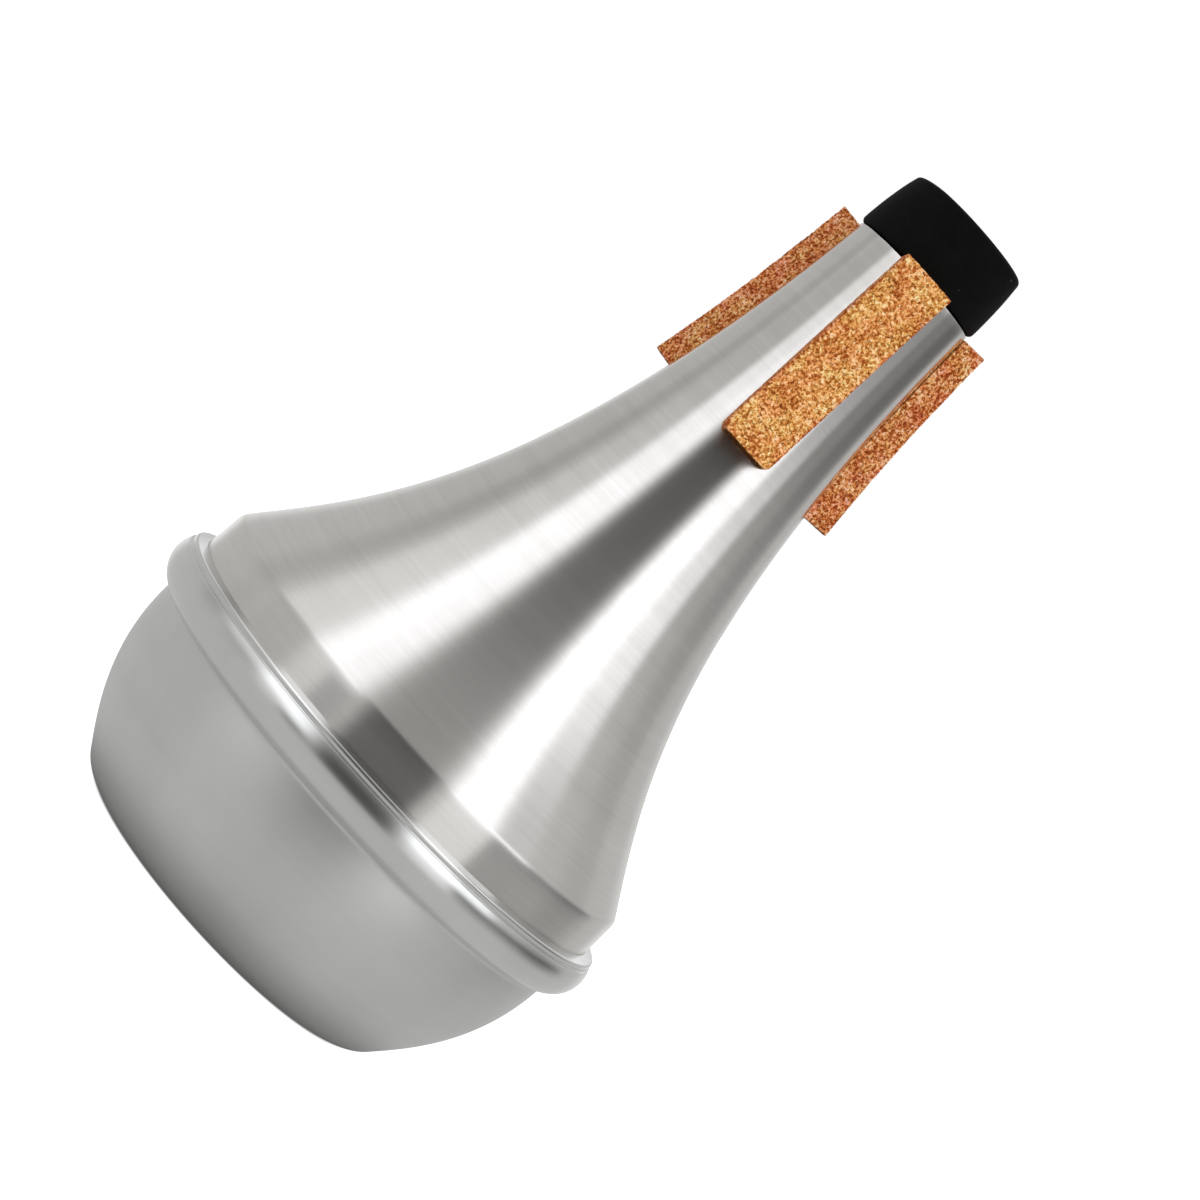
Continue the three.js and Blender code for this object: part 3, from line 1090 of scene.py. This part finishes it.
@dataclass
class CorkStrip:
    """A hand-cut cork strip, bent along the flare and glued to the throat."""

    cone: ConeShell
    side: Side
    length: float
    bearing: float
    below_rim: float
    seed: int
    foot_round: float = 0.4
    width: float = 10.0
    foot_thickness: float = 5.0
    head_thickness: float = 4.4
    crown: float = 0.2
    clearance: float = 0.3
    edge: float = 0.22
    step: float = 0.17
    granule: float = 0.55
    granule_rise: float = 0.05
    granule_level: float = 0.75
    gap_depth: float = 0.06
    gap_width: float = 0.16
    lost_granules: float = 0.22
    lost_softness: float = 0.08
    lost_depth: float = 0.14
    lost_spread: float = 0.55
    loss_on_faces: float = 0.35
    loss_at_edges: float = 1.1
    edge_reach: float = 0.35
    corner_blend: float = 0.25
    wave: float = 6.0
    wave_rise: float = 0.03
    smooth_underside: float = 0.4  # share of the thickness on which nothing stands proud

    def skin_at(self, below_rim: Points) -> Points:
        """Finds the throat's outer skin below its rim, and straight on above the rim.

        Args:
            below_rim: Distances from the rim down along the skin.

        Returns:
            The points (r, z) on the skin.
        """
        _, flare = self.cone.corner_and_flare()
        down = flare[::-1]
        run = run_along(down)
        clipped = np.maximum(below_rim, 0.0)
        points = np.stack([np.interp(clipped, run, down[:, axis]) for axis in (0, 1)], axis=-1)
        onward = unit(down[0] - down[1])
        return points + np.maximum(-below_rim, 0.0)[..., None] * onward

    def block(self) -> Points:
        """Makes the straight strip as rings round its length.

        A ring is the strip's cross-section, width by thickness. It is carried along the
        length in even steps, and at both ends it shrinks to one point, which gives the
        end faces. Then every corner p becomes q + edge * unit(p - q), where q is p held
        inside the block less the edge, so all edges are rounded.

        Returns:
            The corners as (ring, place round it, (across, up, along)).
        """
        half, edge, thickness = self.width / 2, self.edge, self.foot_thickness
        wide, tall = round(self.width / self.step), round(thickness / self.step)
        across = np.linspace(-half, half, wide, endpoint=False)
        up = np.linspace(0.0, thickness, tall, endpoint=False)
        section = np.concatenate([
            np.stack([across, np.zeros(wide)], axis=1),
            np.stack([np.full(tall, half), up], axis=1),
            np.stack([-across, np.full(wide, thickness)], axis=1),
            np.stack([np.full(tall, -half), thickness - up], axis=1)])
        middle = np.array([0.0, thickness / 2])
        shrink = np.linspace(0.0, 1.0, tall // 2)[:, None, None]
        lid = middle + (section - middle)[None] * shrink
        rows = round(self.length / self.step)
        body = np.broadcast_to(section, (rows + 1, *section.shape))
        rings = np.concatenate([lid[:-1], body, lid[:-1][::-1]])
        along = np.concatenate([np.zeros(len(lid) - 1), np.linspace(0.0, self.length, rows + 1),
                                np.full(len(lid) - 1, self.length)])
        along = np.broadcast_to(along[:, None, None], (*rings.shape[:2], 1))
        block = np.concatenate([rings, along], axis=2)
        low = np.array([-half + edge, edge, edge])
        high = np.array([half - edge, thickness - edge, self.length - edge])
        held = np.clip(block, low, high)
        away = block - held
        size = np.linalg.norm(away, axis=2, keepdims=True)
        return held + away * np.where(size > edge, edge / np.maximum(size, SAME_POINT), 1.0)

    def crumbled(self, block: Points) -> Points:
        """Presses the granules' relief into the block.

        The surface rises by rise * (level - distance to the nearest granule's middle),
        sinks by depth * exp(-(distance between two / width)^2) in the gaps, and sinks
        further by depth * exp(-(distance / spread)^4) where a granule broke out, more so
        along the edges. Soft waves bow the faces a little.

        Args:
            block: Corners of the straight strip.

        Returns:
            The corners with the relief.
        """
        flat = block.reshape(-1, 3)
        middle = np.array([0.0, self.foot_thickness / 2, self.length / 2])
        reach = np.array([self.width / 2, self.foot_thickness / 2, self.length / 2])
        depth = reach - np.abs(flat - middle)
        outward = np.sign(flat - middle) * np.exp(-depth / self.corner_blend)
        outward /= np.maximum(np.linalg.norm(outward, axis=1, keepdims=True), SAME_POINT)
        nearest, following, chance = granules_at(flat + self.seed, self.granule, self.seed)
        rise = self.granule_rise * (self.granule_level - nearest)
        gap = self.gap_depth * np.exp(-((following - nearest) / self.gap_width)**2)
        lost = (np.clip((self.lost_granules - chance) / self.lost_softness, 0.0, 1.0)
                * np.exp(-(nearest / self.lost_spread)**4))
        at_edge = np.exp(-np.sort(depth, axis=1)[:, 1] / self.edge_reach)
        loss = self.lost_depth * lost * (self.loss_on_faces + self.loss_at_edges * at_edge)
        wave = self.wave_rise * lumps_at(flat, self.wave, self.seed)
        under = flat[:, 1] < self.foot_thickness * self.smooth_underside
        height = np.where(under, np.minimum(rise, 0.0), rise + wave) - gap - loss
        return (flat + outward * height[:, None]).reshape(block.shape)

    def bent(self, block: Points) -> Points:
        """Bends the straight strip along the flare and over the round throat.

        Its underside lies a clearance off the skin as an arc sqrt(r^2 - across^2), its
        face is flat across but for the crown, and the width narrows round the foot's
        corners by round - sqrt(round^2 - (round - along)^2).

        Args:
            block: Corners as (across, up, along).

        Returns:
            The corners in the mute's place.
        """
        across, up, along = np.moveaxis(block, -1, 0)
        near_foot = np.clip(self.foot_round - along, 0.0, self.foot_round)
        lost = self.foot_round - np.sqrt(np.maximum(self.foot_round**2 - near_foot**2, 0.0))
        across = across * (1.0 - lost / (self.width / 2))
        ends = self.skin_at(np.array([self.length + self.below_rim, self.below_rim]))
        outward = -left_of(unit(ends[1] - ends[0]))
        skin = self.skin_at(self.length - along + self.below_rim)
        seat = skin[..., 0] + self.clearance
        share = np.clip(along / self.length, 0.0, 1.0)[..., None]
        thickness = self.foot_thickness + (self.head_thickness - self.foot_thickness) * share
        face = np.stack([seat, skin[..., 1]], axis=-1) + outward * thickness
        lift = up / self.foot_thickness
        inner = np.sqrt(seat**2 - across**2)
        outer = face[..., 0] - self.crown * (across / (self.width / 2))**2
        out = inner + (outer - inner) * lift
        high = skin[..., 1] + (face[..., 1] - skin[..., 1]) * lift
        turn = math.radians(self.bearing - 90)
        cos, sin = math.cos(turn), math.sin(turn)
        return np.stack([out * cos - across * sin, out * sin + across * cos, high], axis=-1)

    def build(self) -> bpy.types.Object:
        """Builds and dresses the strip, with its cut sides and its foot's end, which gets painted
        shade, as values.

        Returns:
            The dressed strip.
        """
        block = self.block()
        placed = self.bent(self.crumbled(block))
        surface = lofted(placed[1:-1], placed[[0, -1], 0], clockwise=True)
        aside = np.concatenate([block[1:-1, :, 0].ravel(), [0.0, 0.0]])
        along = np.concatenate([block[1:-1, :, 2].ravel(), [0.0, self.length]])
        surface.values["cut_side"] = np.clip(
            (np.abs(aside) - self.width / 2 + 2 * self.edge) / self.edge, 0.0, 1.0)
        # marks the foot's end face, which the material darkens as painted shade
        surface.values["shaded_foot_end"] = np.clip(1.0 - along / self.edge, 0.0, 1.0)
        node = f"cork_strip_{self.side.value}"
        piece = surface.made(f"{node}_granulated")
        dress(piece, CORK.material(), node)
        return piece


# --- Studio ---

Lights = tuple[float, float, float, float, float]


@dataclass(frozen=True)
class TentBand:
    """One upright band of the light tent: a panel, a gap between panels or a flag.

    Its place is the bearing of the metal that mirrors it to the front, in degrees, so a
    panel from 14 to 28 gives the cone a streak there. The five lights are for metal that
    leans down, a little up and further up, at the studio's tilts.
    """

    left: float
    right: float
    lights: Lights
    soft_left: float = 4.0
    soft_right: float = 4.0


@dataclass
class Studio:
    """Pale floor and backdrop inside a tent of soft panels, grey cloth and dark gaps."""

    facets: int = 96
    paper_top: float = -0.02
    paper_thickness: float = 0.2
    floor_paper: str = "#C8C8C8"
    floor_reach: float = 3000.0
    floor_lights: tuple[float, float] = (0.05, 0.93)
    floor_fade: tuple[float, float] = (29.6, 31.2)
    dome_margin: float = 1.05
    dome_points: int = 33
    # The floor's image: a glowing disc that only reflections show, a painted reflection of the
    # floor whose glow fades into a painted soft shadow round the foot.
    near_floor_reach: float = 120.0
    near_floor_lights: tuple[float, float] = (0.08, 0.58)
    near_floor_fade: tuple[float, float] = (28.0, 46.0)
    key_strength: float = 1.1
    key_from: tuple[float, float, float] = (0.2, -0.9, 0.35)
    key_spread: float = 40.0
    tilts: Lights = (-1.5, 7.0, 14.0, 24.0, 36.0)
    cloth: Lights = (0.58, 0.57, 0.54, 0.58, 0.62)
    bands_fade: tuple[float, float] = (-9.0, -3.5)
    cloth_colour: str = "#FFFFFF"
    panel_colour: str = "#F8FAFF"
    panel_lights: tuple[float, float] = (0.7, 1.5)
    ceiling: float = 1.1
    ceiling_fade: tuple[float, float] = (34.0, 60.0)
    bands: tuple[TentBand, ...] = (
        TentBand(-54.0, -46.0, (0.55, 0.49, 0.42, 0.47, 0.55), soft_left=7.0),
        TentBand(-42.0, -28.0, (0.55, 0.46, 0.76, 0.94, 0.94), soft_left=5.0),
        TentBand(-28.0, -19.0, (0.75, 0.95, 1.75, 1.65, 1.65), soft_left=5.0),
        TentBand(-20.0, -13.0, (0.15, 1.40, 1.75, 1.50, 1.50), soft_right=5.0),
        TentBand(34.0, 65.0, (0.44, 0.07, 0.58, 0.60, 0.61), soft_left=4.0, soft_right=5.0),
        TentBand(49.0, 61.0, (0.34, 0.00, 0.46, 0.49, 0.54), soft_left=8.0, soft_right=3.0),
        TentBand(26.0, 38.0, (0.42, 0.00, 1.60, 1.55, 0.05), soft_left=3.0, soft_right=4.0),
        TentBand(14.0, 27.0, (0.94, 1.15, 2.00, 1.80, 1.80), soft_left=3.0, soft_right=3.0),
        TentBand(-10.0, 11.0, (0.08, 0.05, 0.10, 0.24, 0.42), soft_left=5.0, soft_right=3.0),
    )
    back_bands: tuple[TentBand, ...] = (
        TentBand(-90.0, -76.5, (0.95, 0.66, 0.78, 0.58, 0.28), soft_right=8.0),
        TentBand(77.0, 90.0, (0.80, 0.58, 0.72, 0.60, 0.48), soft_left=8.0),
    )

    def paper(self, name: str, reach: float, fade: tuple[float, float],
              lights: tuple[float, float], colour: str) -> bpy.types.Object:
        """Builds a thin disc of paper whose glow changes with the distance from its middle.

        Args:
            name: Name of the disc.
            reach: Its radius.
            fade: Distances between which the glow changes.
            lights: Strength of the glow inside and outside them.
            colour: Colour of the paper under other light.

        Returns:
            The disc.
        """
        top, bottom = self.paper_top, self.paper_top - self.paper_thickness
        disc = np.array([[0.0, bottom], [reach, bottom], [reach, top], [0.0, top]])
        made = revolved(disc, self.facets).made(name)
        material, tree = new_material(f"pale_studio_paper_{name}", "#FFFFFF")
        place = add_node(tree, "ShaderNodeTexCoord").outputs["Object"]
        radius = add_node(tree, "ShaderNodeVectorMath", {0: place}, operation="LENGTH")
        strength = add_node(tree, "ShaderNodeMapRange", {
            "Value": radius.outputs["Value"], **change(fade[0] * MM, fade[1] * MM, *lights)},
            interpolation_type="SMOOTHSTEP")
        dull = add_node(tree, "ShaderNodeBsdfDiffuse", {"Color": linear(colour)})
        glow = add_node(tree, "ShaderNodeEmission", {"Strength": strength.outputs[0]})
        both = add_node(tree, "ShaderNodeAddShader", {0: dull.outputs[0], 1: glow.outputs[0]})
        add_node(tree, "ShaderNodeOutputMaterial", {"Surface": both.outputs[0]})
        made.data.materials.append(material)
        return made

    def backdrop(self) -> bpy.types.Object:
        """Builds the pale dome behind all, a sphere just larger than the floor.

        Returns:
            The dome.
        """
        angle = np.linspace(-0.5 * np.pi, 0.5 * np.pi, self.dome_points)
        arch = self.dome_margin * self.floor_reach * np.stack([np.cos(angle), np.sin(angle)],
                                                              axis=1)
        arch[[0, -1], 0] = 0.0
        dome = revolved(arch, self.facets).made("backdrop")
        material, tree = new_material("pale_backdrop", "#FFFFFF")
        glow = add_node(tree, "ShaderNodeEmission", {"Strength": 1.0})
        add_node(tree, "ShaderNodeOutputMaterial", {"Surface": glow.outputs[0]})
        dome.data.materials.append(material)
        return dome

    def ground(self) -> None:
        """Builds the pale floor, its image in the metal and the pale dome behind all.

        The paper glows by itself but for a ring round the mute's foot, where only the
        light that reaches it shows, so that the foot stands in a thin dark line. Its
        image is a smaller glowing disc which only reflections show, a painted reflection
        of the floor with a wider painted soft shadow in its glow.
        """
        floor = self.paper("floor", self.floor_reach, self.floor_fade, self.floor_lights,
                           self.floor_paper)
        # A painted reflection of the floor, with a painted soft shadow round the foot.
        image = self.paper("floor_image", self.near_floor_reach, self.near_floor_fade,
                           self.near_floor_lights, "#000000")
        dome = self.backdrop()
        for piece in (floor, dome, image):
            piece.visible_camera = piece is not image
            piece.visible_glossy = piece is image
            piece.visible_diffuse = False
            piece.visible_transmission = False
            piece.visible_shadow = False

    def tent(self) -> None:
        """Lights the world as the tent, band over band.

        The metal that mirrors a direction d to the front faces d - (0, 1, 0). The bearing
        and the tilt of that vector place each band, and smooth steps soften its sides.
        """
        world = bpy.data.worlds.new("light_tent")
        bpy.context.scene.world = world
        world.use_nodes = True
        tree = world.node_tree
        tree.nodes.clear()

        direction = add_node(tree, "ShaderNodeTexCoord").outputs["Generated"]
        mirror = add_node(tree, "ShaderNodeVectorMath", {0: direction, 1: (0.0, 1.0, 0.0)},
                          operation="SUBTRACT")
        facing = add_node(tree, "ShaderNodeVectorMath", {0: mirror.outputs[0]},
                          operation="NORMALIZE")
        split = add_node(tree, "ShaderNodeSeparateXYZ", {0: facing.outputs[0]})
        front = add_node(tree, "ShaderNodeMath", {0: split.outputs[1], 1: -1.0},
                         operation="MULTIPLY")
        bearing = add_node(tree, "ShaderNodeMath", {0: split.outputs[0], 1: front.outputs[0]},
                           operation="ARCTAN2").outputs[0]
        tilt = add_node(tree, "ShaderNodeMath", {0: split.outputs[2]},
                        operation="ARCSINE").outputs[0]

        def by_tilt(lights: Lights) -> bpy.types.NodeSocket:
            """Makes a light that changes evenly from each of the studio's tilts to the next.

            Args:
                lights: The light at each tilt.

            Returns:
                The light at the metal's own tilt.
            """
            total: bpy.types.NodeSocket | None = None
            for (start, first), (end, last) in pairwise(zip(self.tilts, lights)):
                share = (0.0, last - first) if total else (first, last)
                part = add_node(tree, "ShaderNodeMapRange", {
                    "Value": tilt, **change(math.radians(start), math.radians(end), *share)}
                    ).outputs[0]
                total = add_node(tree, "ShaderNodeMath", {0: total, 1: part},
                                 operation="ADD").outputs[0] if total else part
            return total

        def laid_over(under: bpy.types.NodeSocket, band: TentBand) -> bpy.types.NodeSocket:
            """Lays a band in front of the light.

            Args:
                under: The light so far.
                band: The band.

            Returns:
                The light with the band.
            """
            opening, closing = (
                add_node(tree, "ShaderNodeMapRange", {
                    "Value": bearing,
                    **change(math.radians(side - soft / 2), math.radians(side + soft / 2), *ends)},
                    interpolation_type="SMOOTHSTEP").outputs[0]
                for side, soft, ends in ((band.left, band.soft_left, (0.0, 1.0)),
                                         (band.right, band.soft_right, (1.0, 0.0))))
            cover = add_node(tree, "ShaderNodeMath", {0: opening, 1: closing},
                             operation="MULTIPLY")
            return add_node(tree, "ShaderNodeMix", {
                0: cover.outputs[0], 2: under, 3: by_tilt(band.lights)},
                data_type="FLOAT").outputs[0]

        cloth = banded = by_tilt(self.cloth)
        for band in self.bands:
            banded = laid_over(banded, band)
        fade = add_node(tree, "ShaderNodeMapRange", {
            "Value": tilt, **change(*map(math.radians, self.bands_fade))},
            interpolation_type="SMOOTHSTEP")
        light = add_node(tree, "ShaderNodeMix", {
            0: fade.outputs[0], 2: cloth, 3: banded}, data_type="FLOAT").outputs[0]
        for band in self.back_bands:
            light = laid_over(light, band)
        above = add_node(tree, "ShaderNodeMapRange", {
            "Value": tilt, **change(*map(math.radians, self.ceiling_fade))},
            interpolation_type="SMOOTHSTEP")
        light = add_node(tree, "ShaderNodeMix", {
            0: above.outputs[0], 2: light, 3: self.ceiling}, data_type="FLOAT").outputs[0]
        brightness = add_node(tree, "ShaderNodeMapRange", {
            "Value": light, **change(*self.panel_lights)}, interpolation_type="SMOOTHSTEP")
        colour = add_node(tree, "ShaderNodeMix", {
            0: brightness.outputs[0], 6: linear(self.cloth_colour),
            7: linear(self.panel_colour)}, data_type="RGBA")
        sky = add_node(tree, "ShaderNodeBackground", {
            "Color": colour.outputs[2], "Strength": light})
        add_node(tree, "ShaderNodeOutputWorld", {"Surface": sky.outputs[0]})

    def key(self) -> None:
        """Adds a soft lamp at the front right, which only dull surfaces show."""
        lamp = bpy.data.lights.new("soft_key", "SUN")
        lamp.energy, lamp.angle = self.key_strength, math.radians(self.key_spread)
        key = bpy.data.objects.new("soft_key", lamp)
        key.rotation_euler = Vector(self.key_from).to_track_quat("Z", "Y").to_euler()
        key.visible_glossy = False
        bpy.context.scene.collection.objects.link(key)

    def build(self) -> None:
        """Builds floor, backdrop, tent and key lamp."""
        self.ground()
        self.tent()
        self.key()
        settings = bpy.context.scene.view_settings
        settings.view_transform, settings.look = "Standard", "None"


@dataclass(frozen=True)
class StudioCamera:
    """A long lens half a metre in front of the mute, rolled so that the mute leans right."""

    place: tuple[float, float, float] = (4.26, -510.0, 103.7)
    pitch_down: float = 2.862
    roll: float = 42.1
    lens: float = 95.06
    sensor: float = 36.0
    clip: tuple[float, float] = (0.01, 20.0)

    def build(self) -> bpy.types.Object:
        """Builds the camera: level right and up, pitched, then turned about its view.

        Returns:
            The scene's camera.
        """
        pitch, roll = math.radians(self.pitch_down), math.radians(self.roll)
        level_right = Vector((1.0, 0.0, 0.0))
        level_up = Vector((0.0, math.sin(pitch), math.cos(pitch)))
        right = math.sin(roll) * level_right + math.cos(roll) * level_up
        up = -math.cos(roll) * level_right + math.sin(roll) * level_up
        data = bpy.data.cameras.new("studio_camera")
        data.lens, data.sensor_width = self.lens, self.sensor
        data.clip_start, data.clip_end = self.clip
        camera = bpy.data.objects.new("studio_camera", data)
        bpy.context.scene.collection.objects.link(camera)
        turn = Matrix((right, up, right.cross(up))).transposed().to_4x4()
        camera.matrix_world = Matrix.Translation(Vector(self.place) * MM) @ turn
        bpy.context.scene.camera = camera
        return camera


def main() -> None:
    """Builds the mute piece by piece, then the studio and the camera."""
    logging.basicConfig(level=logging.INFO, format="%(name)s %(message)s")
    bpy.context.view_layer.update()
    seam = RolledSeam()
    cone = ConeShell(seam)
    parts = (
        EndCap(seam),
        cone,
        ThroatSleeve(cone),
        CorkStrip(cone, Side.FRONT, length=39.5, bearing=5, below_rim=-0.3, seed=3,
                  foot_round=1.3),
        CorkStrip(cone, Side.RIGHT, length=38.4, bearing=119, below_rim=0.2, seed=8),
        CorkStrip(cone, Side.LEFT, length=38.2, bearing=-126, below_rim=0.1, seed=14),
    )
    for part in parts:
        piece = part.build()
        LOG.info("%s: %d faces of %s", piece.name, len(piece.data.polygons),
                 piece.active_material.name)
    Studio().build()
    StudioCamera().build()


if __name__ == "__main__":
    main()
